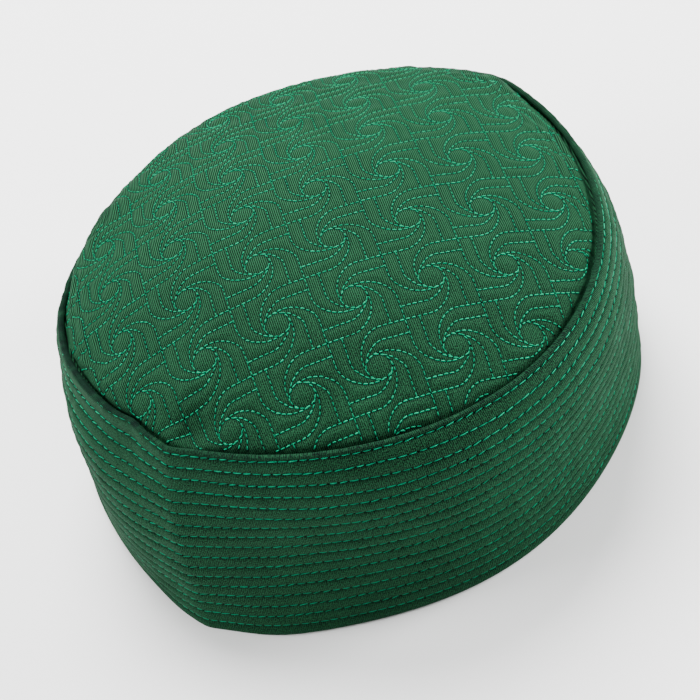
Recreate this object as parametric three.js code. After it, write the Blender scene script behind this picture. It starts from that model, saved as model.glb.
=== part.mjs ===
// A quilted kufi: a tall stitched band and a padded, domed crown.
// Millimetres, +Z up. The rim of the band rests on z = 0 and the pressed front fold points to -Y.
import * as THREE from 'three';

// Band: one strip of cloth, folded over at the top
const STRIP_WIDTH = 73.2;      // from the fold on top down to the rim, along the cloth
const BAND_WALL = 2.2;
const ROW_COUNT = 17;
const FIRST_ROW = 1.7;         // from the fold down to the first row of stitches
const ROW_PITCH = 4.21;
const ROW_DIP = 0.45;          // how far the stitches draw the cloth in
const FRONT_FOLD = { deg: 0, out: 2.5, spread: 7 };
const BACK_FOLD = { deg: 162, out: 1.0, spread: 8 };

// Crown: a padded panel with its edge turned down inside the band
const CROWN_THICK = 3.0;
const CROWN_RISE = 22;         // of the middle over the seam
const CROWN_POWER = 2.6;       // 2 is a round dome, more is flatter on top
const SEAM_DIP = 1.4;          // the crown meets the band this far under the fold
const FULL_SIDE = { deg: 225, out: 6.3, power: -0.9 };   // here the crown bulges over its seam
const LIP_DEPTH = 7;
const LIP_THICK = 1.8;
const FRONT_DENT = { deg: 7, out: 72, deep: 2.2, wide: 10 };
const GAP = 0.3;               // between crown and band

// Distance of the band's outside from the middle, by direction. deg counts from the front towards +X.
// crest is the height of the fold on top.
const OUTLINE = [
  { deg: 0, rim: 95, middle: 92.5, shoulder: 87.5, upper: 83, edge: 80, crest: 72 },
  { deg: 30, rim: 92, middle: 88.5, shoulder: 88.5, upper: 86.5, edge: 83, crest: 72.5 },
  { deg: 60, rim: 92.5, middle: 93.5, shoulder: 94.5, upper: 93.5, edge: 88.5, crest: 72 },
  { deg: 90, rim: 94.5, middle: 95.5, shoulder: 97.5, upper: 95.5, edge: 93, crest: 71.5 },
  { deg: 120, rim: 100.5, middle: 100.5, shoulder: 99, upper: 97, edge: 93, crest: 72.5 },
  { deg: 150, rim: 101, middle: 100.5, shoulder: 99.5, upper: 97, edge: 94.5, crest: 73.5 },
  { deg: 180, rim: 97.5, middle: 97.5, shoulder: 97.5, upper: 99, edge: 95, crest: 71.5 },
  { deg: 210, rim: 96, middle: 97.5, shoulder: 98.5, upper: 96.5, edge: 91, crest: 68.5 },
  { deg: 240, rim: 95, middle: 94.5, shoulder: 96, upper: 90, edge: 85.5, crest: 69.5 },
  { deg: 270, rim: 96, middle: 92, shoulder: 88.5, upper: 81.5, edge: 79, crest: 70.5 },
  { deg: 300, rim: 96.5, middle: 87, shoulder: 84.5, upper: 83.5, edge: 80.5, crest: 70.5 },
  { deg: 330, rim: 92.5, middle: 91, shoulder: 89, upper: 82.5, edge: 80, crest: 71.5 },
];
const LEVEL_HEIGHT = { rim: 0, middle: 29, shoulder: 51, upper: 63.5 };

const CLOTH = {
  crown: { color: '#1f4f33', roughness: 0.85, metalness: 0 },
  band: { color: '#1c4a30', roughness: 0.88, metalness: 0 },
};

// Directions around the hat, closer together at the two pressed folds
const AROUND = directions(72, [FRONT_FOLD.deg, BACK_FOLD.deg], [1.5, 3.5]);

function directions(count, folds, extra) {
  const list = [];
  for (let i = 0; i < count; i += 1) list.push((i * 360) / count);
  for (const fold of folds) {
    for (const away of extra) list.push((fold + away + 360) % 360, (fold - away + 360) % 360);
  }
  return [...new Set(list)].sort((a, b) => a - b);
}

// One column of the outline, faired into a smooth closed curve
function faired(column, deg) {
  const n = OUTLINE.length;
  let sum = 0;
  for (let m = 0; m <= n / 2; m += 1) {
    const share = m === 0 || m === n / 2 ? 1 / n : 2 / n;
    for (const row of OUTLINE) sum += share * row[column] * Math.cos((m * (deg - row.deg) * Math.PI) / 180);
  }
  return sum;
}

function degreesApart(a, b) {
  return Math.abs(((a - b + 540) % 360) - 180);
}

function foldOut(deg) {
  let out = 0;
  for (const fold of [FRONT_FOLD, BACK_FOLD]) {
    out += fold.out * Math.exp(-((degreesApart(deg, fold.deg) / fold.spread) ** 2));
  }
  return out;
}

// Outside of the band seen in section: x is the distance from the middle, y the height
function bandSection(deg) {
  const fold = foldOut(deg);
  const points = ['edge', 'upper', 'shoulder', 'middle', 'rim'].map((level) => {
    const height = level === 'edge' ? faired('crest', deg) : LEVEL_HEIGHT[level];
    return new THREE.Vector3(faired(level, deg) + fold, height, 0);
  });
  return new THREE.CatmullRomCurve3(points, false, 'catmullrom', 0.5);
}

// A point of that section: way runs along the cloth from the fold, inward goes into the wall
function sectionPoint(section, way, inward) {
  const u = THREE.MathUtils.clamp(way / STRIP_WIDTH, 0, 1);
  const at = section.getPointAt(u);
  const along = section.getTangentAt(u);
  return new THREE.Vector2(at.x + along.y * inward, at.y - along.x * inward);
}

function bandLoop(deg) {
  const section = bandSection(deg);
  const half = BAND_WALL / 2;
  const loop = [];
  for (let row = 0; row < ROW_COUNT; row += 1) {
    const way = FIRST_ROW + row * ROW_PITCH;
    loop.push(sectionPoint(section, way, ROW_DIP));
    if (row < ROW_COUNT - 1) loop.push(sectionPoint(section, way + ROW_PITCH / 2, 0));
  }
  loop.push(sectionPoint(section, STRIP_WIDTH - 2.2, 0));
  const foot = sectionPoint(section, STRIP_WIDTH, 0).x;
  loop.push(new THREE.Vector2(foot, 0), new THREE.Vector2(foot - BAND_WALL, 0));
  for (const way of [66, 56, 46, 36, 27, 19, 12, 6, 2.5]) loop.push(sectionPoint(section, way, BAND_WALL));
  const middle = sectionPoint(section, half, half);
  const out = sectionPoint(section, half, 0).sub(middle);
  const up = new THREE.Vector2(-out.y, out.x);
  for (const turn of [150, 110, 70, 30]) {
    const a = (turn * Math.PI) / 180;
    loop.push(middle.clone().addScaledVector(out, Math.cos(a)).addScaledVector(up, Math.sin(a)));
  }
  return loop;
}

// Top of the crown in section; part is 0 in the middle and 1 at the seam
function crownTop(seam, middleHeight, part, deg) {
  const out = seam.x * part;
  const level = middleHeight - CROWN_RISE + (seam.y - (middleHeight - CROWN_RISE)) * part;
  const full = 0.5 + 0.5 * Math.cos(((deg - FULL_SIDE.deg) * Math.PI) / 180);
  const bulge = FULL_SIDE.out * full ** 2 * part ** 2 * (1 - part ** 12);
  const height = level + CROWN_RISE * (1 - part ** (CROWN_POWER + FULL_SIDE.power * full)) + bulge;
  const turn = (deg * Math.PI) / 180;
  const dent = (FRONT_DENT.deg * Math.PI) / 180;
  const dx = out * Math.sin(turn) - FRONT_DENT.out * Math.sin(dent);
  const dy = out * Math.cos(turn) - FRONT_DENT.out * Math.cos(dent);
  const away = Math.hypot(dx, dy) / FRONT_DENT.wide;
  const dip = FRONT_DENT.deep * Math.exp(-(away ** 2)) * (1 - part ** 10);
  return new THREE.Vector2(out, height - dip);
}

function meanCrest() {
  return OUTLINE.reduce((sum, row) => sum + row.crest, 0) / OUTLINE.length;
}

function crownLoop(deg) {
  const section = bandSection(deg);
  const seam = sectionPoint(section, SEAM_DIP, BAND_WALL + GAP);
  const middleHeight = meanCrest() - SEAM_DIP + CROWN_RISE;
  const parts = [0.1, 0.22, 0.34, 0.46, 0.57, 0.67, 0.76, 0.84, 0.9, 0.95, 0.98];
  const loop = parts.map((part) => crownTop(seam, middleHeight, part, deg));
  loop.push(seam);
  for (const way of [3.5, 5.5, LIP_DEPTH]) loop.push(sectionPoint(section, way, BAND_WALL + GAP));
  loop.push(sectionPoint(section, LIP_DEPTH, BAND_WALL + GAP + LIP_THICK));
  for (const part of [0.93, 0.86, 0.76, 0.62, 0.46, 0.3, 0.14]) {
    const here = crownTop(seam, middleHeight, part, deg);
    const ahead = crownTop(seam, middleHeight, part + 0.01, deg);
    const down = ahead.sub(here).normalize();
    loop.push(new THREE.Vector2(here.x + down.y * CROWN_THICK, here.y - down.x * CROWN_THICK));
  }
  return { loop, top: middleHeight, under: middleHeight - CROWN_THICK };
}

function place(point, deg, middle) {
  const turn = (deg * Math.PI) / 180;
  return [point.x * Math.sin(turn) - middle.x, -point.x * Math.cos(turn) - middle.y, point.y];
}

// Joins loops of equal length, one for each direction, into a skin; closed loops make a ring
function skin(loops, middle, closed) {
  const spots = [];
  const faces = [];
  const size = loops[0].points.length;
  loops.forEach(({ points, deg }) => points.forEach((point) => spots.push(...place(point, deg, middle))));
  const steps = closed ? size : size - 1;
  for (let i = 0; i < loops.length; i += 1) {
    const next = (i + 1) % loops.length;
    for (let k = 0; k < steps; k += 1) {
      const a = i * size + k;
      const b = i * size + ((k + 1) % size);
      const c = next * size + ((k + 1) % size);
      const d = next * size + k;
      faces.push(a, b, c, a, c, d);
    }
  }
  return { spots, faces, size };
}

function mesh(name, spots, faces) {
  const shape = new THREE.BufferGeometry();
  shape.setAttribute('position', new THREE.Float32BufferAttribute(spots, 3));
  shape.setIndex(faces);
  shape.computeVertexNormals();
  const piece = new THREE.Mesh(shape, new THREE.MeshStandardMaterial(CLOTH[name]));
  piece.name = name;
  return piece;
}

function makeBand(middle) {
  const loops = AROUND.map((deg) => ({ deg, points: bandLoop(deg) }));
  const { spots, faces } = skin(loops, middle, true);
  return mesh('band', spots, faces);
}

function makeCrown(middle) {
  const made = AROUND.map((deg) => ({ deg, ...crownLoop(deg) }));
  const loops = made.map(({ deg, loop }) => ({ deg, points: loop }));
  const { spots, faces, size } = skin(loops, middle, false);
  const top = spots.length / 3;
  spots.push(-middle.x, -middle.y, made[0].top, -middle.x, -middle.y, made[0].under);
  loops.forEach((unused, i) => {
    const next = (i + 1) % loops.length;
    faces.push(top, i * size, next * size);
    faces.push(top + 1, next * size + size - 1, i * size + size - 1);
  });
  return mesh('crown', spots, faces);
}

function bandMiddle() {
  const box = new THREE.Box3().setFromObject(makeBand(new THREE.Vector2()));
  const centre = box.getCenter(new THREE.Vector3());
  return new THREE.Vector2(centre.x, centre.y);
}

function makeKufi() {
  const kufi = new THREE.Group();
  kufi.name = 'kufi';
  const middle = bandMiddle();
  kufi.add(makeBand(middle), makeCrown(middle));
  return kufi;
}

export default makeKufi();
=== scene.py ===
import math

import bmesh
import bpy
import numpy as np
from mathutils import Matrix, Vector, noise
from mathutils.bvhtree import BVHTree


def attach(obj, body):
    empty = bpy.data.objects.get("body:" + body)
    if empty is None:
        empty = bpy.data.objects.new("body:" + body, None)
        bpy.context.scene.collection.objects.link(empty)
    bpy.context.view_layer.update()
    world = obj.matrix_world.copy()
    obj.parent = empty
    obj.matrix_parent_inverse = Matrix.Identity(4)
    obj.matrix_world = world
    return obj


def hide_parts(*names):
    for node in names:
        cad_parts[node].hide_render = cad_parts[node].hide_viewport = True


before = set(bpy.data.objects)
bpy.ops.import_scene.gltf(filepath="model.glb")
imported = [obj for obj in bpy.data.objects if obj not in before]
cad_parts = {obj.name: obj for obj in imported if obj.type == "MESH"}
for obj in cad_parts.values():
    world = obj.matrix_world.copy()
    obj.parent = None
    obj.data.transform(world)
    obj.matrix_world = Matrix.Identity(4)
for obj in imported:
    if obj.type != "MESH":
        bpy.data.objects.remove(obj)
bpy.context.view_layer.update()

MM = 0.001

# Sizes are in millimetres. Directions are in degrees from the front fold at -Y towards +X, and a
# stretch of directions is given as start, full, fading and end.

# The outside of the band, as in the CAD source: distance from the middle by direction and level,
# and in the last column the height of the band's top edge
OUTLINE_COLUMNS = ("deg", "rim", "middle", "shoulder", "upper", "edge", "crest")
OUTLINE = np.array([
    (0, 95, 92.5, 87.5, 83, 80, 72),
    (30, 92, 88.5, 88.5, 86.5, 83, 72.5),
    (60, 92.5, 93.5, 94.5, 93.5, 88.5, 72),
    (90, 94.5, 95.5, 97.5, 95.5, 93, 71.5),
    (120, 100.5, 100.5, 99, 97, 93, 72.5),
    (150, 101, 100.5, 99.5, 97, 94.5, 73.5),
    (180, 97.5, 97.5, 97.5, 99, 95, 71.5),
    (210, 96, 97.5, 98.5, 96.5, 91, 68.5),
    (240, 95, 94.5, 96, 90, 85.5, 69.5),
    (270, 96, 92, 88.5, 81.5, 79, 70.5),
    (300, 96.5, 87, 84.5, 83.5, 80.5, 70.5),
    (330, 92.5, 91, 89, 82.5, 80, 71.5),
])
LEVEL_HEIGHT = {"rim": 0, "middle": 29, "shoulder": 51, "upper": 63.5}
AXIS = (-0.66, -0.71)          # the middle of the crown, from the middle of the hat's box
STEPS_ROUND = 720              # directions in the tables worked out below

FOLDS = (                      # pressed folds: direction, out, spread, rounding
    (0, 3.0, 6, 1.3),
    (162, 1.2, 6, 1.5),
)
FLARES = ((13, 1.2, 10), (354, 1.0, 7))      # the foot beside the front fold: direction, out, spread
FLARE_TOP = 30                 # height where the foot's flare ends
FLARE_POWER = 1.5
PINCH = {"deg": 347.5, "in": 1.1, "spread": 3.5, "height": 69, "reach": 9}     # beside the front fold

# Band: a strip of cloth, measured from the fold on its top edge down to the hem
STRIP_WIDTH = 73.2
STRIP_LENGTH = 600.0           # round the hat, for the weave
BAND_WALL = 2.2
BAND_COLUMNS = 460
ROW_COUNT = 17
FIRST_ROW = 1.7
ROW_PITCH = 4.21
ROW_WAVES = ((0.13, 5, 1.3), (0.09, 11, 2.1), (0.05, 23, 0.7))     # how the rows wander, as for waves()
STEADY_EDGE = {"from": 0.2, "over": 3}       # the rows wander less beside the cloth's edges
FIRST_ROW_UP = 1.5             # the first row runs close to the seam left of the front fold
FIRST_ROW_CLOSE = (316, 326, 352, 358)

# Padding between the rows
ROW_DIP = 0.42
ROW_CREASE = {"deep": 0.22, "wide": 0.35, "last_wide": 0.5}        # the sharp dip at the stitches
PAD_POWER = 0.7                # under 1, the padding is full right up to the stitches
PAD_WAVES = ((0.25, 7, 1.9), (0.15, 17, -1))           # how its fullness varies, as for waves()
FULLER_SIDE = (50, 90, 150, 180)
FULLER_BY = 0.35               # share by which the padding is fuller there
PUCKER = {"high": 0.35, "pitch": 2.6, "step": 0.37, "first": 0.2}      # its small unevenness
INNER_DIP = {"deep": 0.35, "wide": 0.6}      # at the rows on the inside

# Ridge on the band's top edge
RIDGE_BUMPS = ((1, 2.2, 1.2), (0.6, 0.9, 4.4))         # strength, pitch, pick of the noise
RIDGE_BUMP = {"out": 0.15, "up": 0.3, "reach": 1.5}
RIDGE_LIFTS = ((164, 1.1, 9),)               # direction, up, spread
RIDGE_LIFT_REACH = 4
# Painted shade on the ridge on top, where the crown shades it: a darker, uneven tone, strongest left of the
# front fold
RIDGE_SHADE = {"mean": 0.75, "uneven": 0.5, "pitch": 1.5, "pick": 9.1, "reach": 1.4, "left": 0.7}
RIDGE_SHADE_LEFT = (285, 310, 350, 358)

# The band's section: shares of the way to the next row, turns round the top fold, and the hem
ROW_STEPS = (0, 0.05, 0.13, 0.27, 0.42, 0.58, 0.73, 0.87, 0.95)
LAST_ROW_STEPS = (0, 0.05, 0.13)
INNER_STEPS = (0.5, 0.06, 0)
LAST_INNER_STEPS = (0.06, 0)
TOP_FOLD_OUTSIDE = (90, 70, 50, 30, 14)
TOP_FOLD_INSIDE = (166, 140, 115)
HEM = (                        # way down the cloth, inward
    (71, 0), (72.2, 0.05), (72.8, 0.2), (73.15, 0.55),
    (73.2, 1.1), (73.15, 1.65), (72.8, 2.0), (72.2, 2.15),
)

# Crown: a dome of padded cloth; part is 0 in its middle and 1 at its seam
CROWN_CELLS = 268
UNDER_CELLS = 120
CROWN_RISE = 22
CROWN_POWER = 2.6
SEAM_DIP = 1.4                 # way down the band to the seam
SEAM_GAP = 0.3                 # between the crown and the band's wall, as in the CAD source
TOP_GAP = 0.05                 # the same for the cloth on top, which touches but for this
MEAN_SEAM = 88                 # mean distance of the seam from the middle
FULL_SIDE = {"deg": 225, "out": 6.3, "power": -0.9, "flat": 12}    # here the crown bulges over its seam
DENTS = ((4, 76, 3.8, 7.5), (82, 86, 1.6, 4.5))        # by the seam: direction, from the middle, deep, wide
DENT_END = 24                  # power that ends a dent at the seam
UNDER_DEPTH = 2.6              # from the top's cloth to the underside
UNDER_SHARE = 0.965            # size of the underside
LIP_GAP = 0.1                  # between the band's wall and the crown's turned-down edge
LIP_RINGS = (                  # rings of that edge: way down the band, away from its wall
    (2.0, 0), (3.5, 0), (5.3, 0), (6.7, 0), (7.0, 0.5), (7.0, 1.3), (6.6, 1.8),
)
RING_TOP = 0                   # numbers of the top and the underside beside those of the rings
RING_UNDER = 90

# The crown's edge, by the distance from the seam
FAR_SIDE = (147, 166, 286, 312)              # it rolls out over the seam
BACK_LEFT = (295, 315, 345, 358)             # it rolls out a little
RIGHT_SIDE = (120, 140, 180, 200)            # it leans out
ROLL = {"out": 1.4, "out_reach": 4, "up": 2.2, "up_reach": 11, "start": 0.7}
ROLL_LUMPS = {"share": 0.15, "pitch": 7, "pick": 2.4}
BACK_LEFT_ROLL = 0.4
RIGHT_LEAN = 0.9
EDGE_BUMP = {"high": 0.5, "reach": 2, "pitch": 1.7, "pick": 7.3}
LIFTS = ((274, 1.9, 13), (162, 0.9, 8))      # it stands higher: direction, up, spread
TUCK = {"deep": 1.3, "reach": 1.5}           # it is drawn down at the seam on the near side
PLEATED_SIDES = ((80, 110, 165, 190), (285, 300, 325, 345))
PLEAT = {"high": 0.34, "pitch": 3.2, "reach": 9, "start": 1.5, "drift": 0.9, "drift_pitch": 11}

# Quilting: a square lattice on the crown, measured along the cloth from the middle
SQUARE = 23.52
LATTICE_TURN = math.radians(42.059)
LATTICE_START = (2.5967, 3.1328)             # in squares
LATTICE_BEND = ((-0.0069, -0.0029, 0.0029), (0.0034, -0.0015, -0.0013))
BEND_ROUNDS = 8
WHIRL_CIRCLE = 0.16            # in squares, as are the two arms below
WHIRL_ARM = (
    (-0.165, -0.03), (-0.175, 0.09), (-0.168, 0.17), (-0.145, 0.245), (-0.107, 0.32), (-0.05, 0.392),
    (0.015, 0.447), (0.09, 0.485), (0.17, 0.5), (0.32, 0.5), (0.5, 0.5),
)
INNER_ARM = (
    (-0.135, 0.085), (-0.095, 0.165), (-0.04, 0.223), (0.025, 0.275), (0.093, 0.31), (0.167, 0.32),
    (0.24, 0.318), (0.31, 0.317), (0.38, 0.317), (0.485, 0.317),
)
ARM_CURVE_STEPS = 12
MARK_STEP = 0.012              # between the marks that stand for the lines, in squares
MARK_REACH = 0.66              # squares from a whirl's middle to the farthest mark that counts
PUFF = 0.7                     # height of the padding between the lines
UNDER_PUFF = 0.35
PUFF_REACH = 2.0
PUFF_POWER = 1.2
PUFF_START = 2.2               # distance from the seam over which the padding fills
ROUGH = {"high": 0.3, "pitch": 9, "pick": 0.3}         # soft unevenness of the whole top

# Stitches
CROWN_STITCH = {"pitch": 1.74, "length": 1.35, "width": 0.44, "height": 0.36, "slant": 0.03, "hole": 0.19}
BAND_STITCH = {"pitch": 3.0, "length": 2.75, "width": 0.33, "height": 0.36, "slant": 0.09, "hole": 0.22}
PLUMP = (1.12, 1.12, 1.06)     # makes up for the few sides of a thread
END_DROP = 0.6                 # how far a thread's ends go down into the cloth, in half heights
RAISED = 0.3                   # a thread's middle above the cloth, in heights
# the needle holes are dark blobs of painted shade at the ends of the stitches
HOLE_SIZE = 1.15
HOLE_SHAPE = (1, 0.45, 1.1)
LENGTH_VARIES = 0.1
GIRTH_VARIES = 0.12
SLANT_VARIES = 0.06
LEAST_TONE = 0.2
FAINT_GIRTH = 0.3              # share that a faint stitch loses of its girth, and of its tone
FAINT_TONE = 0.8
LOOK_AHEAD = 0.2               # distance over which a stitch's direction is taken
STITCHED_TO = 0.985            # part of the crown that is stitched
FARTHEST_WHIRL = 112
WHIRL_COLUMNS = range(-1, 8)
WHIRL_ROWS = range(-8, 3)
ROW_SHIFT = 0.37               # start of each band row against the last, in stitches
FAINT_ROWS = (0.5, 6)          # from the first to the second the band's stitches grow faint
FAINT_LOW = 0.8

# Cloth and thread
UV_UNIT = 100                  # millimetres of cloth in one unit of its UV map
RIB = 0.6                      # pitch of the ribs
RIB_WANDER = {"by": 0.006, "scale": 5.0}
RIB_EDGES = (0.2, 0.8)         # between these a rib turns from dark to light, on a wave from 0 to 1
RIB_NARROWER = 0.3             # how much later on the far side
WEFT = {"pitch": (0.45, 0.9), "rough": 0.6, "shade": 0.9, "least": 0.5}
GRAIN = {"pitch": (0.45, 0.45), "rough": 0.7}
PATCHES = {"scale": 3.5, "strength": 0.35}
FIBRE_SCALE = 900.0
BUMP = {"high": 0.09, "weft": 0.45, "fibre": 0.35}
SHADE_REACH = 0.55             # painted shade: darker cloth beside the stitches, in the creases they pull
SHADE_STRENGTH = 0.55
# Painted light: the cloth's colour turns lighter towards the crown's far side, where the light from behind
# falls; the ribs' contrast and the grain's strength also change from the near side to the far side
BACKWARD = (-0.656, 0.755)     # towards the crown's far side
NEAR_TO_FAR = (-0.07, 0.06)    # metres backward between which the near look turns into the far one
FAR_LOOK = (-0.01, 0.06)
RIB_CONTRAST = (0.6, 3.0)      # on the near side, on the far side
CROWN_GRAIN = (3.2, 2.0)       # likewise
BAND_GRAIN = (4.8, 2.4)
INNER_ROW = {"wide": 0.05, "long": 0.38, "to": 70.5}   # stitches seen inside: in rows, stitches, millimetres
THREAD_OWN = 0.7               # share of a thread's tone that is its own
THREAD_FIBRE = {"scale": 2500.0, "strength": 0.4}


def srgb(r, g, b):
    out = []
    for c in (r, g, b):
        c /= 255
        out.append(c / 12.92 if c <= 0.04045 else ((c + 0.055) / 1.055) ** 2.4)
    return (*out, 1.0)


CLOTH_LIGHT = srgb(26, 74, 47)
# painted light: lighter cloth on the far side, where the light from behind falls
CLOTH_LIGHT_FAR = srgb(35, 93, 60)
CLOTH_DARK = srgb(0, 4, 3)
CLOTH_SHEEN = srgb(90, 200, 140)
CROWN_THREAD = srgb(0, 142, 101)
BAND_THREAD = srgb(0, 172, 126)
THREAD_DARK = srgb(14, 88, 60)
# painted shade: the colour of the blobs in the needle holes, and of the darker cloth beside the stitches and
# on the ridge
SHADE_COLOUR = srgb(0, 8, 8)
FLOOR_WHITE = (0.95, 0.95, 0.95, 1)

# Camera, solved from the quilting, the stitch rows and the outline of the photograph
CAMERA = {"azimuth": 41.034, "elevation": 45.56, "roll": -17.938, "distance": 492.57}
CAMERA_AIM = (4.6155, -8.5819, 35.69)        # right and up in the view, and the height of the point between
FOCAL_PIXELS = 1488.48
PHOTO_PIXELS = 700
SENSOR = 36

# Set, in metres and watts
FLOOR_HALF = 3
FLOOR_DROP = 0.0003
WORLD_LIGHT = 0.7
LIGHTS_AIM = (0, 0, 0.05)
LIGHTS = (                     # name, place, size, power
    ("key", (-0.45, 0.55, 1.15), 0.9, 55),
    ("left", (-0.85, -0.6, 0.5), 0.6, 16),
    ("right", (0.85, 0.75, 0.45), 0.6, 31),
)


# Curves and noise

def apart(a, b):
    """Degrees between two directions."""
    return np.abs((a - b + 540) % 360 - 180)


def step_between(x, low, high):
    t = np.clip((x - low) / (high - low), 0, 1)
    return t * t * (3 - 2 * t)


def stretch(x, start, full, fading, end):
    """1 from full to fading, and 0 before the start and after the end."""
    return step_between(x, start, full) * (1 - step_between(x, fading, end))


def hill(x, width):
    """1 at 0, with a round fall on both sides."""
    return np.exp(-(x / width) ** 2)


def hills(deg, rows):
    """Sum of round hills by direction; each row has its direction, height and spread."""
    return sum(high * hill(apart(deg, at), spread) for at, high, spread in rows)


def fill_up(x, width):
    """0 at 0, growing towards 1 over the width."""
    return 1 - np.exp(-x / width)


def waves(deg, row, table):
    """Sum of waves round the hat; the table has their height, count and turn from row to row."""
    return sum(high * np.sin(np.radians(count * deg) + turn * row) for high, count, turn in table)


def round_noise(deg, pitch, pick):
    """Noise by direction that closes round the hat; pitch in degrees, pick chooses or moves through it."""
    reach = math.degrees(1) / pitch
    pick = np.broadcast_to(pick, deg.shape)
    return np.array([noise.noise(Vector((reach * math.cos(a), reach * math.sin(a), z)))
                     for a, z in zip(np.radians(deg), pick)])


def unit(vectors):
    return vectors / np.linalg.norm(vectors, axis=-1, keepdims=True)


def smooth_curve(points, steps):
    """Points of a smooth curve through the given ones, so many steps from each to the next."""
    points = [2 * points[0] - points[1], *points, 2 * points[-1] - points[-2]]
    curve = []
    for p0, p1, p2, p3 in zip(points, points[1:], points[2:], points[3:]):
        for t in np.arange(steps) / steps:
            curve.append(0.5 * (2 * p1 + (p2 - p0) * t + (2 * p0 - 5 * p1 + 4 * p2 - p3) * t ** 2
                                + (3 * p1 - p0 - 3 * p2 + p3) * t ** 3))
    return curve + [points[-2]]


def lengths_along(line):
    """Length of a line, or of each of many, up to each of its points."""
    steps = np.linalg.norm(np.diff(line, axis=-2), axis=-1)
    return np.concatenate([np.zeros(steps.shape[:-1] + (1,)), np.cumsum(steps, -1)], -1)


def points_at(at, length, line):
    """Points of a line at the given lengths along it."""
    return np.stack([np.interp(at, length, column) for column in line.T], -1)


def lerp_table(table, a, b):
    """Values of a table between its rows and columns; the rows close round."""
    rows, columns = table.shape[:2]
    a = np.mod(a, rows)
    a0 = np.floor(a).astype(int) % rows
    a1 = (a0 + 1) % rows
    fa = (a - np.floor(a))[:, None]
    b = np.clip(b, 0, columns - 1.000001)  # just short of the last column
    b0 = np.floor(b).astype(int)
    fb = (b - b0)[:, None]
    low = table[a0, b0] * (1 - fb) + table[a0, b0 + 1] * fb
    high = table[a1, b0] * (1 - fb) + table[a1, b0 + 1] * fb
    return low * (1 - fa) + high * fa


# Outline of the band

def faired(column, deg):
    """One column of the outline as a smooth closed curve."""
    rows = len(OUTLINE)
    values = OUTLINE[:, OUTLINE_COLUMNS.index(column)]
    total = np.zeros_like(deg, dtype=float)
    for m in range(rows // 2 + 1):
        share = (1 if m in (0, rows // 2) else 2) / rows
        for row_deg, value in zip(OUTLINE[:, 0], values):
            total += share * value * np.cos(np.radians(m * (deg - row_deg)))
    return total


def fold_out(deg):
    return sum(out * np.exp(-np.hypot(apart(deg, at), edge) / spread) for at, out, spread, edge in FOLDS)


class Strip:
    """The outside of the band: radius, height and the way inward, by direction and way down the cloth."""

    STEP_WAY = 0.4
    CURVE_STEPS = 16

    def __init__(self):
        deg = np.arange(STEPS_ROUND) * 360 / STEPS_ROUND
        fold = fold_out(deg)
        knots = []
        for level in ("edge", "upper", "shoulder", "middle", "rim"):
            if level == "edge":
                height = faired("crest", deg)
            else:
                height = np.full(deg.shape, float(LEVEL_HEIGHT[level]))
            knots.append(np.stack([faired(level, deg) + fold, height], -1))
        lines = np.stack(smooth_curve(knots, self.CURVE_STEPS), 1)
        length = lengths_along(lines)
        share = length / length[:, -1:]
        self.count = int(round(STRIP_WIDTH / self.STEP_WAY)) + 1
        even = np.linspace(0, 1, self.count)
        at = np.array([points_at(even, s, line) for s, line in zip(share, lines)])
        along = unit(np.gradient(at, axis=1))
        inward = np.stack([along[..., 1], -along[..., 0]], -1)
        low = np.clip(1 - at[..., 1] / FLARE_TOP, 0, 1)
        at[..., 0] += hills(deg, FLARES)[:, None] * low ** FLARE_POWER
        pinch = hills(deg, ((PINCH["deg"], PINCH["in"], PINCH["spread"]),))
        at[..., 0] -= pinch[:, None] * hill(at[..., 1] - PINCH["height"], PINCH["reach"])
        self.table = np.concatenate([at, inward], -1)

    def section(self, deg, way, inward):
        """Radius and height."""
        found = lerp_table(self.table, deg * STEPS_ROUND / 360, way / STRIP_WIDTH * (self.count - 1))
        return found[:, :2] + unit(found[:, 2:]) * np.asarray(inward)[:, None]


def place(section, deg):
    """Radius and height to metres in the frame."""
    turn = np.radians(deg)
    return np.stack([
        (section[:, 0] * np.sin(turn) + AXIS[0]) * MM,
        (-section[:, 0] * np.cos(turn) + AXIS[1]) * MM,
        section[:, 1] * MM,
    ], -1)


STRIP = Strip()


# Meshes

def new_object(name, mesh):
    piece = bpy.data.objects.new(name, mesh)
    bpy.context.scene.collection.objects.link(piece)
    return piece


def mesh_of(bm, name):
    mesh = bpy.data.meshes.new(name)
    bm.to_mesh(mesh)
    bm.free()
    return mesh


def read(mesh):
    out = np.empty(len(mesh.vertices) * 3, dtype=np.float32)
    mesh.vertices.foreach_get("co", out)
    return out.reshape(-1, 3).astype(float)


def write(mesh, co):
    mesh.vertices.foreach_set("co", co.astype(np.float32).ravel())
    mesh.update()


def set_cloth_uv(mesh, across, down):
    """UV map of the cloth, from millimetres across and down it at each vertex."""
    vertices = np.empty(len(mesh.loops), dtype=np.int32)
    mesh.loops.foreach_get("vertex_index", vertices)
    uv = (np.stack([across, down], -1) / UV_UNIT)[vertices]
    mesh.uv_layers.new(name="cloth").data.foreach_set("uv", uv.astype(np.float32).ravel())


def set_attribute(mesh, name, values):
    layer = mesh.attributes.new(name=name, type="FLOAT", domain="POINT")
    layer.data.foreach_set("value", values.astype(np.float32))


def smooth(mesh):
    mesh.polygons.foreach_set("use_smooth", np.ones(len(mesh.polygons), dtype=bool))


def finish_cloth(mesh, has_seam):
    """Closes the seam of a strip, and turns the faces outwards."""
    bm = bmesh.new()
    bm.from_mesh(mesh)
    if has_seam:
        bmesh.ops.remove_doubles(bm, verts=bm.verts[:], dist=0.001 * MM)
    bmesh.ops.recalc_face_normals(bm, faces=bm.faces[:])
    bm.to_mesh(mesh)
    bm.free()
    smooth(mesh)


# Band

def row_number(way):
    return (way - FIRST_ROW) / ROW_PITCH


def from_row(row):
    """Distance from the nearest row of stitches."""
    return np.abs(row - np.rint(row)) * ROW_PITCH


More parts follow.
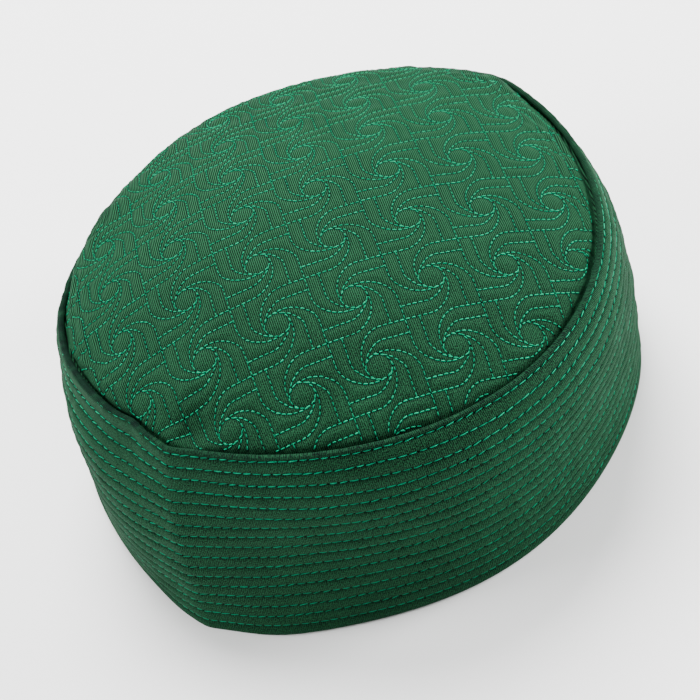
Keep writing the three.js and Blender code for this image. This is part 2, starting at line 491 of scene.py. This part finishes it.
def row_way(deg, row):
    """Way down the cloth to a row, which wanders a little."""
    way = FIRST_ROW + row * ROW_PITCH
    free = np.minimum(way - STEADY_EDGE["from"], STRIP_WIDTH - way) / STEADY_EDGE["over"]
    close = stretch(np.mod(deg, 360), *FIRST_ROW_CLOSE) * np.clip(1 - row, 0, 1)
    return way + (waves(deg, row, ROW_WAVES) - FIRST_ROW_UP * close) * np.clip(free, 0, 1)


def row_dip(deg, row):
    """How far the outside lies inward: most at the rows of stitches, least on the padding between them."""
    arch = np.sin(np.pi * (row - np.floor(row)))
    pad = arch ** PAD_POWER * (1 + waves(deg, row, PAD_WAVES))
    fuller = 1 + FULLER_BY * stretch(deg % 360, *FULLER_SIDE)
    dip = ROW_DIP * fuller * (1 - pad) + ROW_CREASE["deep"] * hill(from_row(row), ROW_CREASE["wide"])
    pucker = round_noise(deg, PUCKER["pitch"], PUCKER["step"] * row + PUCKER["first"])
    dip = dip + PUCKER["high"] * arch * pucker
    below_last = (row - ROW_COUNT + 1) * ROW_PITCH
    last_dip = (ROW_DIP + ROW_CREASE["deep"]) * hill(below_last, ROW_CREASE["last_wide"])
    return np.where(below_last > 0, last_dip, dip)


def band_profile():
    """Points round the wall's section: kind, row, inward, and side, which is 0 outside and 1 inside."""
    half = BAND_WALL / 2

    def on_top(turn, side):
        a = math.radians(turn)
        return "top", row_number(half - half * math.sin(a)), half - half * math.cos(a), side

    profile = [on_top(turn, 0) for turn in TOP_FOLD_OUTSIDE]
    for k in range(ROW_COUNT):
        steps = ROW_STEPS if k < ROW_COUNT - 1 else LAST_ROW_STEPS
        profile += [("row", k + f, 0, 0) for f in steps]
    profile += [("hem", row_number(way), inward, 0 if inward < half else 1) for way, inward in HEM]
    for k in reversed(range(ROW_COUNT)):
        steps = INNER_STEPS if k < ROW_COUNT - 1 else LAST_INNER_STEPS
        profile += [("inner", k + f, BAND_WALL, 1) for f in steps]
    profile += [on_top(turn, 1) for turn in TOP_FOLD_INSIDE]
    profile.append((*profile[0][:3], 1))
    return profile


def painted_ridge_shade(deg, way):
    """Painted shade on the ridge on top: a darker, uneven tone, strongest left of the front fold."""
    tone = RIDGE_SHADE["mean"] + RIDGE_SHADE["uneven"] * round_noise(deg, RIDGE_SHADE["pitch"], RIDGE_SHADE["pick"])
    tone = tone * (1 + RIDGE_SHADE["left"] * stretch(deg % 360, *RIDGE_SHADE_LEFT))
    return tone * np.exp(-(way / RIDGE_SHADE["reach"]) ** 4)


def make_band():
    profile = band_profile()
    bm = bmesh.new()
    bmesh.ops.create_grid(bm, x_segments=BAND_COLUMNS, y_segments=len(profile) - 1, size=1)
    mesh = mesh_of(bm, "band_strip")
    flat = (read(mesh) + 1) / 2
    deg = 180 + flat[:, 0] * 360
    k = np.rint(flat[:, 1] * (len(profile) - 1)).astype(int)
    kind, row, inward, side = (np.array(column)[k] for column in zip(*profile))
    outer = kind != "inner"
    way = FIRST_ROW + row * ROW_PITCH

    inner_dip = INNER_DIP["deep"] * hill(from_row(row), INNER_DIP["wide"])
    inward = np.where(kind == "row", row_dip(deg, row), inward)
    inward = np.where(kind == "inner", BAND_WALL - inner_dip, inward)
    section = STRIP.section(deg, np.clip(row_way(deg, row), 0, STRIP_WIDTH), inward)
    bumps = sum(high * round_noise(deg, pitch, pick) for high, pitch, pick in RIDGE_BUMPS)
    bumps = bumps * hill(way, RIDGE_BUMP["reach"]) * outer
    section = section + bumps[:, None] * np.array([RIDGE_BUMP["out"], RIDGE_BUMP["up"]])
    section[:, 1] += hills(deg, RIDGE_LIFTS) * hill(way, RIDGE_LIFT_REACH) * outer
    section[:, 1] = np.where(kind == "hem", np.maximum(section[:, 1], 0), section[:, 1])
    write(mesh, place(section, deg))

    set_cloth_uv(mesh, deg / 360 * STRIP_LENGTH, way)
    # painted shade beside the rows of stitches, and on the ridge on top
    stitched = (row < ROW_COUNT - 0.5) & (way > 0.5)
    shade = np.where(stitched, hill(from_row(row), SHADE_REACH), 0)
    set_attribute(mesh, "painted_shade", np.maximum(shade, painted_ridge_shade(deg, way) * outer))
    set_attribute(mesh, "inner_side", side)
    finish_cloth(mesh, has_seam=True)
    return new_object("band_cloth", mesh)


# Crown

MIDDLE_HEIGHT = OUTLINE[:, -1].mean() - SEAM_DIP + CROWN_RISE


def crown_top(deg, part, gap=TOP_GAP, dented=True):
    """Radius and height of the crown's top, without its quilting."""
    seam = STRIP.section(deg, np.full_like(deg, SEAM_DIP), np.full_like(deg, BAND_WALL + gap))
    out = seam[:, 0] * part
    base = MIDDLE_HEIGHT - CROWN_RISE
    full = 0.5 + 0.5 * np.cos(np.radians(deg - FULL_SIDE["deg"]))
    power = CROWN_POWER + FULL_SIDE["power"] * full
    height = base + (seam[:, 1] - base) * part + CROWN_RISE * (1 - part ** power)
    height = height + FULL_SIDE["out"] * full ** 2 * part ** 2 * (1 - part ** FULL_SIDE["flat"])
    if dented:
        turn = np.radians(deg)
        for at, centre, deep, wide in DENTS:
            x, y = centre * math.sin(math.radians(at)), centre * math.cos(math.radians(at))
            away = np.hypot(out * np.sin(turn) - x, out * np.cos(turn) - y)
            height = height - deep * hill(away, wide) * (1 - part ** DENT_END)
    return np.stack([out, height], -1)


class Arc:
    """Length along the crown from its middle, from part to length and back."""

    STEPS_OUT = 240

    def __init__(self):
        deg = np.arange(STEPS_ROUND) * 360 / STEPS_ROUND
        part = np.linspace(0, 1, self.STEPS_OUT + 1)
        all_deg, all_part = (x.ravel() for x in np.meshgrid(deg, part, indexing="ij"))
        top = crown_top(all_deg, all_part, SEAM_GAP, dented=False).reshape(len(deg), len(part), 2)
        self.length = lengths_along(top)
        self.total = np.repeat(self.length[:, -1:], 2, 1)
        self.part = np.array([np.interp(part, line / line[-1], part) for line in self.length])

    def look_up(self, table, deg, x):
        return lerp_table(table[..., None], deg * STEPS_ROUND / 360, x * self.STEPS_OUT)[:, 0]

    def length_at(self, deg, part):
        return self.look_up(self.length, deg, part)

    def part_at(self, deg, length):
        share = length / self.look_up(self.total, deg, np.zeros_like(deg))
        return np.where(share <= 1, self.look_up(self.part, deg, np.clip(share, 0, 1)), share)


ARC = Arc()


def bend(i, j):
    """How far the lattice is drawn out of square, at i and j squares from the middle."""
    return [a * i * i + b * i * j + c * j * j for a, b, c in LATTICE_BEND]


def to_lattice(deg, length):
    """Millimetres along the lattice's two directions, from the middle of a whirl."""
    turn = np.radians(deg)
    x, y = length * np.sin(turn), -length * np.cos(turn)
    c, s = math.cos(LATTICE_TURN), math.sin(LATTICE_TURN)
    i_drawn, j_drawn = (c * x + s * y) / SQUARE, (s * x - c * y) / SQUARE
    i, j = i_drawn, j_drawn
    for unused in range(BEND_ROUNDS):
        di, dj = bend(i, j)
        i, j = i_drawn - di, j_drawn - dj
    return (i + LATTICE_START[0]) * SQUARE, -(j + LATTICE_START[1]) * SQUARE


def from_lattice(u, v):
    """Direction and length along the crown, the other way round."""
    i, j = u / SQUARE - LATTICE_START[0], -v / SQUARE - LATTICE_START[1]
    di, dj = bend(i, j)
    u, v = (i + di) * SQUARE, -(j + dj) * SQUARE
    c, s = math.cos(LATTICE_TURN), math.sin(LATTICE_TURN)
    x, y = c * u - s * v, s * u + c * v
    return np.degrees(np.arctan2(x, -y)) % 360, np.hypot(x, y)


def stitched_arm(points, step):
    """A whirl's arm at even steps, the first and last of them half a step from its ends."""
    line = np.array(smooth_curve(list(np.array(points, float)), ARM_CURVE_STEPS))
    length = lengths_along(line)
    return points_at(np.arange(0.5 * step, length[-1], step), length, line)


def whirl(step):
    """The lines of one square, in squares from its middle."""
    turn = np.linspace(0, 2 * math.pi, int(2 * math.pi * WHIRL_CIRCLE / step) + 1)[:-1]
    lines = [WHIRL_CIRCLE * np.stack([np.cos(turn), np.sin(turn)], -1)]
    for arm in (WHIRL_ARM, INNER_ARM):
        line = stitched_arm(arm, step)
        for unused in range(4):
            lines.append(line)
            line = np.stack([line[:, 1], -line[:, 0]], -1)
    return lines


def distance_to_quilting(u, v):
    """Distance to the nearest quilting line, worked out for a batch of spots at a time."""
    marks = np.concatenate(whirl(MARK_STEP))
    marks = np.concatenate([marks + (i, j) for i in (-1, 0, 1) for j in (-1, 0, 1)])
    marks = marks[(np.abs(marks) < MARK_REACH).all(1)]
    spots = np.stack([u, v], -1) / SQUARE
    spots = spots - np.rint(spots)
    batch = 4000
    nearest = [((spots[a:a + batch, None] - marks) ** 2).sum(-1).min(1) for a in range(0, len(spots), batch)]
    return np.sqrt(np.concatenate(nearest)) * SQUARE


def disc(flat):
    """A square grid to directions and parts of a disc."""
    u, v = flat[:, 0], flat[:, 1]
    x = u * np.sqrt(1 - v ** 2 / 2)
    y = v * np.sqrt(1 - u ** 2 / 2)
    return np.degrees(np.arctan2(x, -y)) % 360, np.minimum(np.hypot(x, y), 1)


def crown_panel():
    """Flat grids for top and underside, joined by the turned-down edge; and the ring of each vertex."""
    bm = bmesh.new()
    ring_layer = bm.verts.layers.int.new("ring")
    bmesh.ops.create_grid(bm, x_segments=CROWN_CELLS, y_segments=CROWN_CELLS, size=1)
    edges = [e for e in bm.edges if e.is_boundary]
    for k in range(1, len(LIP_RINGS) + 1):
        made = bmesh.ops.extrude_edge_only(bm, edges=edges)["geom"]
        for v in (g for g in made if isinstance(g, bmesh.types.BMVert)):
            v[ring_layer] = k
            v.co.z = -0.1 * k  # keeps the rings apart until make_crown places them
        edges = [g for g in made if isinstance(g, bmesh.types.BMEdge) and g.is_boundary]
    under = bmesh.ops.create_grid(bm, x_segments=UNDER_CELLS, y_segments=UNDER_CELLS, size=1,
                                  matrix=Matrix.Translation((0, 0, -1)))["verts"]
    for v in under:
        v[ring_layer] = RING_UNDER
    bmesh.ops.reverse_faces(bm, faces=[f for f in bm.faces if f.verts[0][ring_layer] == RING_UNDER])
    bmesh.ops.bridge_loops(bm, edges=[e for e in bm.edges if e.is_boundary])
    mesh = mesh_of(bm, "crown_panel")
    ring = np.empty(len(mesh.vertices), dtype=np.int32)
    mesh.attributes["ring"].data.foreach_get("value", ring)
    mesh.attributes.remove(mesh.attributes["ring"])
    return mesh, ring


def crown_edge(deg, rim):
    """How far the edge leans out and stands up, by direction and distance from the seam."""
    far = stretch(deg, *FAR_SIDE)
    start = fill_up(rim, ROLL["start"])
    lumps = 1 + ROLL_LUMPS["share"] * round_noise(deg, ROLL_LUMPS["pitch"], ROLL_LUMPS["pick"])
    roll = (far * lumps + BACK_LEFT_ROLL * stretch(deg, *BACK_LEFT)) * start
    lean = RIGHT_LEAN * stretch(deg, *RIGHT_SIDE) * (1 - far) * start
    out = (ROLL["out"] * roll + lean) * np.exp(-rim / ROLL["out_reach"])
    up = (ROLL["up"] * roll + hills(deg, LIFTS)) * hill(rim, ROLL["up_reach"]) * start
    bumps = EDGE_BUMP["high"] * round_noise(deg, EDGE_BUMP["pitch"], EDGE_BUMP["pick"])
    return np.stack([out, up + bumps * hill(rim, EDGE_BUMP["reach"])], -1)


def crown_pleats(deg, rim):
    """Small pleats beside the seam at the two sides."""
    drift = PLEAT["drift"] * round_noise(deg, PLEAT["drift_pitch"], rim / PLEAT["reach"])
    pleats = np.cos(2 * math.pi * (rim / PLEAT["pitch"] + drift))
    sides = sum(stretch(deg, *side) for side in PLEATED_SIDES)
    return PLEAT["high"] * sides * pleats * hill(rim, PLEAT["reach"]) * fill_up(rim, PLEAT["start"])


def make_crown():
    mesh, ring = crown_panel()
    deg, part = disc(read(mesh))
    length = ARC.length_at(deg, part)
    u, v = to_lattice(deg, length)
    to_line = distance_to_quilting(u, v)
    rim = (1 - part) * MEAN_SEAM
    full = fill_up(rim, PUFF_START)
    pad = 1 - np.exp(-(to_line / PUFF_REACH) ** PUFF_POWER)

    step = 0.004
    slope = unit(crown_top(deg, np.minimum(part + step, 1)) - crown_top(deg, np.maximum(part - step, 0)))
    outward = np.stack([-slope[:, 1], slope[:, 0]], -1)
    rough = np.array([noise.noise(Vector((a, b, ROUGH["pick"])))
                      for a, b in zip(u / ROUGH["pitch"], v / ROUGH["pitch"])])
    tuck = TUCK["deep"] * hill(rim, TUCK["reach"]) * (1 - stretch(deg, *FAR_SIDE))
    relief = (PUFF * pad + ROUGH["high"] * rough) * full - tuck + crown_pleats(deg, rim)
    top = crown_top(deg, part) + crown_edge(deg, rim) + outward * relief[:, None]
    under = crown_top(deg, part * UNDER_SHARE) - outward * (UNDER_DEPTH + UNDER_PUFF * pad * full)[:, None]
    section = np.where((ring == RING_TOP)[:, None], top, under)
    down = np.zeros(len(ring))
    for k, (way, away) in enumerate(LIP_RINGS, 1):
        on = ring == k
        count = on.sum()
        inward = BAND_WALL + LIP_GAP + away
        section[on] = STRIP.section(deg[on], np.full(count, way), np.full(count, inward))
        down[on] = way - SEAM_DIP + away
    write(mesh, place(section, deg))

    set_cloth_uv(mesh, *to_lattice(deg, length + down))
    # painted shade beside the quilting lines
    set_attribute(mesh, "painted_shade", np.where(ring == RING_TOP, hill(to_line, SHADE_REACH), 0))
    set_attribute(mesh, "inner_side", np.where(ring == RING_UNDER, 1.0, 0.0))
    finish_cloth(mesh, has_seam=False)
    return new_object("crown_cloth", mesh)


# Stitches

def unit_stitch(spec):
    """One stitch: a short fat thread along Z, its height along Y, its ends drawn down into the cloth."""
    bm = bmesh.new()
    bmesh.ops.create_uvsphere(bm, u_segments=5, v_segments=4, radius=1)
    for v in bm.verts:
        is_tip = abs(v.co.z) > 0.99
        if not is_tip:
            v.co = [c * plump for c, plump in zip(v.co, PLUMP)]
        v.co.y -= END_DROP * v.co.z ** 4
    bmesh.ops.scale(bm, verts=bm.verts[:],
                    vec=(spec["width"] / 2 * MM, spec["height"] / 2 * MM, spec["length"] / 2 * MM))
    return mesh_of(bm, "stitch")


def unit_hole(spec):
    """A dark blob of painted shade in the needle hole between two stitches."""
    bm = bmesh.new()
    bmesh.ops.create_uvsphere(bm, u_segments=4, v_segments=2, radius=HOLE_SIZE * spec["hole"] * MM)
    bmesh.ops.scale(bm, verts=bm.verts[:], vec=HOLE_SHAPE)
    return mesh_of(bm, "hole")


def lay(small, centres, along, across, normals, length, girth):
    """Copies of a small mesh laid out along the given directions: points and faces."""
    shape = read(small)
    small_faces = [list(p.vertices) for p in small.polygons]
    bpy.data.meshes.remove(small)
    co = (centres[:, None] + shape[None, :, :1] * (across * girth[:, None])[:, None]
          + shape[None, :, 1:2] * (normals * girth[:, None])[:, None]
          + shape[None, :, 2:] * (along * length[:, None])[:, None])
    faces = [[i + n * len(shape) for i in face] for n in range(len(centres)) for face in small_faces]
    return co.reshape(-1, 3), faces


def sew(name, points, ahead, faint, base, spec, seed):
    """Joins one stitch for each point into a piece; each lies on the base and runs along ahead."""
    draw = np.random.default_rng(seed)
    bm = bmesh.new()
    bm.from_mesh(base.data)
    tree = BVHTree.FromBMesh(bm)
    bm.free()
    centres, along, normals = [], [], []
    for point, onward in zip(points, ahead):
        spot, normal = tree.find_nearest(Vector(point))[:2]
        onward = Vector(onward)
        centres.append(spot)
        along.append((onward - onward.dot(normal) * normal).normalized())
        normals.append(normal)
    centres, along, normals = (np.array(x) for x in (centres, along, normals))
    across = np.cross(normals, along)
    count = len(centres)

    def vary(by):
        return by * draw.standard_normal(count).clip(-2, 2)

    length = 1 + vary(LENGTH_VARIES)
    girth = (1 - FAINT_GIRTH * faint) * (1 + vary(GIRTH_VARIES))
    slanted = unit(along + across * (spec["slant"] + vary(SLANT_VARIES))[:, None])
    co, faces = lay(unit_stitch(spec), centres + normals * (spec["height"] * RAISED * MM), slanted,
                    np.cross(normals, slanted), normals, length, girth)
    # a dark blob of painted shade in the needle hole at each stitch's end
    same = np.ones(count)
    ends = centres + along * (spec["pitch"] / 2 * MM)
    hole_co, hole_faces = lay(unit_hole(spec), ends, along, across, normals, same, same)
    faces += [[i + len(co) for i in face] for face in hole_faces]
    mesh = bpy.data.meshes.new(name)
    mesh.from_pydata(np.concatenate([co, hole_co]).tolist(), [], faces)
    tone = (LEAST_TONE + (1 - LEAST_TONE) * draw.random(count)) * (1 - FAINT_TONE * faint)
    set_attribute(mesh, "tone", np.concatenate([np.repeat(tone, len(co) // count), np.zeros(len(hole_co))]))
    set_attribute(mesh, "hole", np.concatenate([np.zeros(len(co)), np.ones(len(hole_co))]))
    smooth(mesh)
    return new_object(name, mesh)


def crown_surface(u, v):
    """Points on the crown, and which of them are well inside its seam."""
    deg, length = from_lattice(u, v)
    part = ARC.part_at(deg, length)
    return place(crown_top(deg, np.minimum(part, 1)), deg), part < STITCHED_TO


def line_directions(line):
    if np.allclose(np.linalg.norm(line, axis=1), WHIRL_CIRCLE):
        return unit(np.roll(line, -1, 0) - np.roll(line, 1, 0))
    return unit(np.gradient(line, axis=0))


def make_crown_stitches(crown):
    lines = whirl(CROWN_STITCH["pitch"] / SQUARE)
    points, ahead, faint = [], [], []
    for i in WHIRL_COLUMNS:
        for j in WHIRL_ROWS:
            for line in lines:
                u, v = (line[:, 0] + i) * SQUARE, (line[:, 1] + j) * SQUARE
                if from_lattice(u, v)[1].min() > FARTHEST_WHIRL:
                    continue
                way = line_directions(line)
                here, inside = crown_surface(u, v)
                there = crown_surface(u + way[:, 0] * LOOK_AHEAD, v + way[:, 1] * LOOK_AHEAD)[0]
                points.append(here[inside])
                ahead.append((there - here)[inside])
                faint.append((way[:, 1] ** 4)[inside])
    points, ahead, faint = (np.concatenate(x) for x in (points, ahead, faint))
    return sew("crown_stitches", points, unit(ahead), faint, crown, CROWN_STITCH, seed=3)


def make_band_stitches(band):
    deg = np.linspace(0, 360, 2 * STEPS_ROUND + 1)
    points, ahead, faint = [], [], []
    for row in range(ROW_COUNT):
        line = place(STRIP.section(deg, row_way(deg, row), np.full_like(deg, ROW_DIP)), deg)
        length = lengths_along(line)
        count = int(round(length[-1] / (BAND_STITCH["pitch"] * MM)))
        at = (np.arange(count) + (ROW_SHIFT * row) % 1) / count * length[-1] % length[-1]
        here = points_at(at, length, line)
        there = points_at((at + LOOK_AHEAD * MM) % length[-1], length, line)
        points.append(here)
        ahead.append(there - here)
        faint.append(np.full(count, FAINT_LOW * step_between(row, *FAINT_ROWS)))
    points, ahead, faint = (np.concatenate(x) for x in (points, ahead, faint))
    return sew("band_stitches", points, unit(ahead), faint, band, BAND_STITCH, seed=4)


# Materials

class Nodes:
    """Short way to write a material's nodes."""

    def __init__(self, name):
        self.material = bpy.data.materials.new(name)
        self.material.use_nodes = True
        self.tree = self.material.node_tree
        self.tree.nodes.clear()
        self.shader = self.node("ShaderNodeBsdfPrincipled")
        self.link(self.shader.outputs[0], self.node("ShaderNodeOutputMaterial").inputs["Surface"])

    def node(self, kind, **settings):
        made = self.tree.nodes.new(kind)
        for key, value in settings.items():
            setattr(made, key, value)
        return made

    def link(self, source, target):
        self.tree.links.new(source, target)

    def put(self, values, sockets):
        """Links or sets each value on its socket."""
        for value, socket in zip(values, sockets):
            if isinstance(value, bpy.types.NodeSocket):
                self.link(value, socket)
            else:
                socket.default_value = value

    def set_shader(self, **values):
        """Uniform values of the shader, by socket name with _ for each space."""
        for name, value in values.items():
            self.shader.inputs[name.replace("_", " ")].default_value = value

    def calc(self, operation, a, b=0.0, c=0.0, clamp=False):
        made = self.node("ShaderNodeMath", operation=operation, use_clamp=clamp)
        self.put((a, b, c), made.inputs)
        return made.outputs[0]

    def times(self, a, b):
        return self.calc("MULTIPLY", a, b)

    def times_plus(self, a, b, c, clamp=False):
        return self.calc("MULTIPLY_ADD", a, b, c, clamp)

    def minus(self, a, b):
        return self.calc("SUBTRACT", a, b)

    def below(self, a, b):
        return self.calc("LESS_THAN", a, b)

    def attribute(self, name):
        return self.node("ShaderNodeAttribute", attribute_name=name).outputs["Fac"]

    def split(self, vector):
        made = self.node("ShaderNodeSeparateXYZ")
        self.link(vector, made.inputs[0])
        return made.outputs[0], made.outputs[1]

    def uv(self):
        return self.split(self.node("ShaderNodeUVMap", uv_map="cloth").outputs[0])

    def object_place(self):
        return self.node("ShaderNodeTexCoord").outputs["Object"]

    def mottle(self, scale, vector, detail=2.0, roughness=0.5):
        made = self.node("ShaderNodeTexNoise")
        made.inputs["Scale"].default_value = scale
        made.inputs["Detail"].default_value = detail
        made.inputs["Roughness"].default_value = roughness
        self.link(vector, made.inputs["Vector"])
        return made.outputs["Fac"]

    def threads(self, u, v, pitch, roughness):
        """Noise as fine as the threads of the cloth."""
        fine = self.vector(self.times(u, UV_UNIT / pitch[0]), self.times(v, UV_UNIT / pitch[1]))
        return self.mottle(1.0, fine, roughness=roughness)

    def vector(self, x, y, z=0.0):
        made = self.node("ShaderNodeCombineXYZ")
        self.put((x, y, z), made.inputs)
        return made.outputs[0]

    def mix(self, share, a, b):
        made = self.node("ShaderNodeMix", data_type="RGBA")
        self.put((share, a, b), (made.inputs["Factor"], made.inputs[6], made.inputs[7]))
        return made.outputs[2]

    def scaled(self, value, low, high, to_low=0.0, to_high=1.0):
        made = self.node("ShaderNodeMapRange", clamp=True)
        self.put((value, low, high, to_low, to_high), made.inputs)
        return made.outputs[0]


def rib_waves(n, u, v):
    """The ribs, from 0 to 1, each a little off its straight line."""
    wander = n.minus(n.mottle(RIB_WANDER["scale"], n.vector(u, v)), 0.5)
    across = n.times_plus(wander, RIB_WANDER["by"], u)
    wave = n.calc("SINE", n.times(across, 2 * math.pi * UV_UNIT / RIB))
    return n.times_plus(wave, 0.5, 0.5)


def inner_thread(n, u, v):
    """Where the rows' stitches show on the inside of the band."""
    row = n.calc("DIVIDE", n.minus(n.times(v, UV_UNIT), FIRST_ROW), ROW_PITCH)
    off_row = n.calc("ABSOLUTE", n.minus(n.calc("FRACT", n.calc("ADD", row, 0.5)), 0.5))
    stitch = n.calc("FRACT", n.times(u, UV_UNIT / BAND_STITCH["pitch"]))
    on_stitch = n.below(n.calc("ABSOLUTE", n.minus(stitch, 0.5)), INNER_ROW["long"])
    thread = n.times(n.below(off_row, INNER_ROW["wide"]), on_stitch)
    above_hem = n.below(v, INNER_ROW["to"] / UV_UNIT)
    return n.times(n.times(thread, n.attribute("inner_side")), above_hem)


def cloth_material(name, grain_strength, inner_rows):
    n = Nodes(name)
    u, v = n.uv()
    rib = rib_waves(n, u, v)
    weft = n.threads(u, v, WEFT["pitch"], WEFT["rough"])
    grain = n.threads(u, v, GRAIN["pitch"], GRAIN["rough"])
    patch = n.mottle(PATCHES["scale"], n.vector(u, v), detail=3.0)
    fibre = n.mottle(FIBRE_SCALE, n.object_place())

    x, y = n.split(n.object_place())
    backward = n.times_plus(y, BACKWARD[1], n.times(x, BACKWARD[0]))
    far = n.scaled(backward, *FAR_LOOK)
    contrast = n.scaled(backward, *NEAR_TO_FAR, *RIB_CONTRAST)
    strength = n.scaled(backward, *NEAR_TO_FAR, *grain_strength)

    # ribs that are crisper and narrower at the far side, then weft, grain and patches
    dark_to, light_from = (n.times_plus(far, RIB_NARROWER, edge) for edge in RIB_EDGES)
    tone = n.times_plus(n.scaled(rib, dark_to, light_from, -0.5, 0.5), contrast, 0.5)
    tone = n.times(tone, n.times_plus(weft, WEFT["shade"], WEFT["least"]))
    tone = n.times_plus(n.minus(grain, 0.5), strength, tone)
    tone = n.times_plus(n.minus(patch, 0.5), PATCHES["strength"], tone, clamp=True)
    # painted light: the cloth turns lighter towards the far side
    colour = n.mix(tone, CLOTH_DARK, n.mix(far, CLOTH_LIGHT, CLOTH_LIGHT_FAR))
    # painted shade beside the stitches, and on the band's ridge
    colour = n.mix(n.times(n.attribute("painted_shade"), SHADE_STRENGTH), colour, SHADE_COLOUR)
    if inner_rows:
        colour = n.mix(inner_thread(n, u, v), colour, CROWN_THREAD)
    n.link(colour, n.shader.inputs["Base Color"])
    n.set_shader(Roughness=0.78, Specular_IOR_Level=0.05)
    n.set_shader(Sheen_Weight=0.04, Sheen_Roughness=0.4, Sheen_Tint=CLOTH_SHEEN)

    bump = n.node("ShaderNodeBump")
    bump.inputs["Strength"].default_value = 1.0
    bump.inputs["Distance"].default_value = BUMP["high"] * MM
    height = n.times_plus(fibre, BUMP["fibre"], n.times_plus(weft, BUMP["weft"], rib))
    n.link(height, bump.inputs["Height"])
    n.link(bump.outputs[0], n.shader.inputs["Normal"])
    return n.material


def thread_material(name, bright):
    n = Nodes(name)
    fine = n.times(n.mottle(THREAD_FIBRE["scale"], n.object_place(), detail=1.0), THREAD_FIBRE["strength"])
    share = n.times_plus(n.attribute("tone"), THREAD_OWN, fine, clamp=True)
    # the blobs in the needle holes take the painted shade colour
    colour = n.mix(n.attribute("hole"), n.mix(share, THREAD_DARK, bright), SHADE_COLOUR)
    n.link(colour, n.shader.inputs["Base Color"])
    n.set_shader(Roughness=1.0, Specular_IOR_Level=0.0)
    return n.material


def floor_material():
    n = Nodes("pale_floor")
    n.set_shader(Base_Color=FLOOR_WHITE, Roughness=0.9)
    return n.material


def dress(piece, material):
    piece.data.materials.clear()
    piece.data.materials.append(material)


# Camera and set

def make_camera():
    az, el, roll = (math.radians(CAMERA[k]) for k in ("azimuth", "elevation", "roll"))
    back = Vector((math.sin(az) * math.cos(el), -math.cos(az) * math.cos(el), math.sin(el)))
    right = Vector((0, 0, 1)).cross(back).normalized()
    up = back.cross(right)
    x, y, height = CAMERA_AIM
    aim = Vector((AXIS[0], AXIS[1], height)) + right * x + up * y
    at = (aim + back * CAMERA["distance"]) * MM
    rolled_right = right * math.cos(roll) + up * math.sin(roll)
    rolled_up = up * math.cos(roll) - right * math.sin(roll)
    data = bpy.data.cameras.new("camera")
    data.sensor_width = SENSOR
    data.lens = FOCAL_PIXELS / PHOTO_PIXELS * SENSOR
    data.clip_start = 0.01
    camera = new_object("camera", data)
    turn = Matrix((rolled_right, rolled_up, back)).transposed().to_4x4()
    camera.matrix_world = Matrix.Translation(at) @ turn
    bpy.context.scene.camera = camera


def area_light(name, at, size, power):
    data = bpy.data.lights.new(name, "AREA")
    data.shape = "DISK"
    data.size = size
    data.energy = power
    light = new_object(name, data)
    light.location = at
    light.rotation_euler = (Vector(LIGHTS_AIM) - Vector(at)).to_track_quat("-Z", "Y").to_euler()


def make_set():
    bm = bmesh.new()
    bmesh.ops.create_grid(bm, x_segments=1, y_segments=1, size=FLOOR_HALF)
    floor = new_object("floor", mesh_of(bm, "floor"))
    floor.location.z = -FLOOR_DROP
    dress(floor, floor_material())
    world = bpy.data.worlds.new("studio")
    world.use_nodes = True
    background = world.node_tree.nodes["Background"]
    background.inputs[0].default_value = (1, 1, 1, 1)
    background.inputs[1].default_value = WORLD_LIGHT
    bpy.context.scene.world = world
    for light in LIGHTS:
        area_light(*light)


def main():
    make_camera()
    band = make_band()
    crown = make_crown()
    crown_stitches = make_crown_stitches(crown)
    band_stitches = make_band_stitches(band)
    dress(band, cloth_material("band_rib_cloth", BAND_GRAIN, inner_rows=True))
    dress(crown, cloth_material("crown_rib_cloth", CROWN_GRAIN, inner_rows=False))
    dress(crown_stitches, thread_material("crown_thread", CROWN_THREAD))
    dress(band_stitches, thread_material("band_thread", BAND_THREAD))
    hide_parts("band")
    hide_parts("crown")
    for piece, slot in ((band, "band_cloth"), (crown, "crown_cloth"), (crown_stitches, "crown_cloth"),
                        (band_stitches, "band_cloth")):
        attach(piece, "root")
    make_set()


main()
